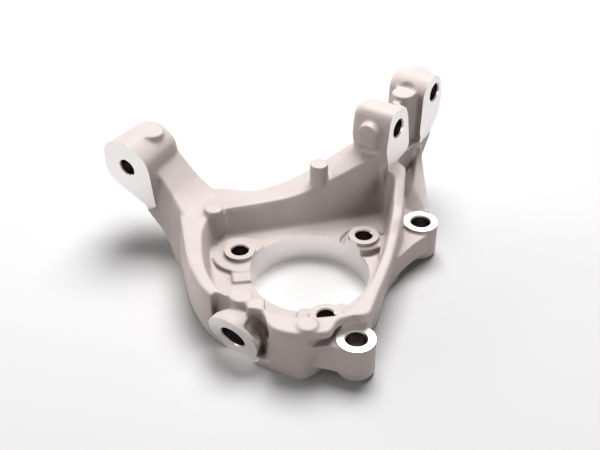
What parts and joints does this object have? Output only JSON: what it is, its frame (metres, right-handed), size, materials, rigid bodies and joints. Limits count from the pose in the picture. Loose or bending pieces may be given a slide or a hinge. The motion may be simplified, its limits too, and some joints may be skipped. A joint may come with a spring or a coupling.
{
  "type": "steering knuckle",
  "caption": "Cast aluminium steering knuckle: open triangular bowl round a wheel bearing bore, with two strut lugs, a steering arm, two caliper ears and a ball joint lug.",
  "frame": {"origin": "centre of the wheel bearing bore on the machined outboard face", "axes": "+Z along the hub axis, inboard; +Y towards the strut lugs; +X towards the caliper ears, so the steering arm points along -X"},
  "size_m": [0.2656, 0.2815, 0.1142],
  "materials": {
    "cast": "shot-blasted casting with machined holes and lug faces"
  },
  "bodies": {
    "root": {"knuckle": "cast"}
  },
  "joints": []
}
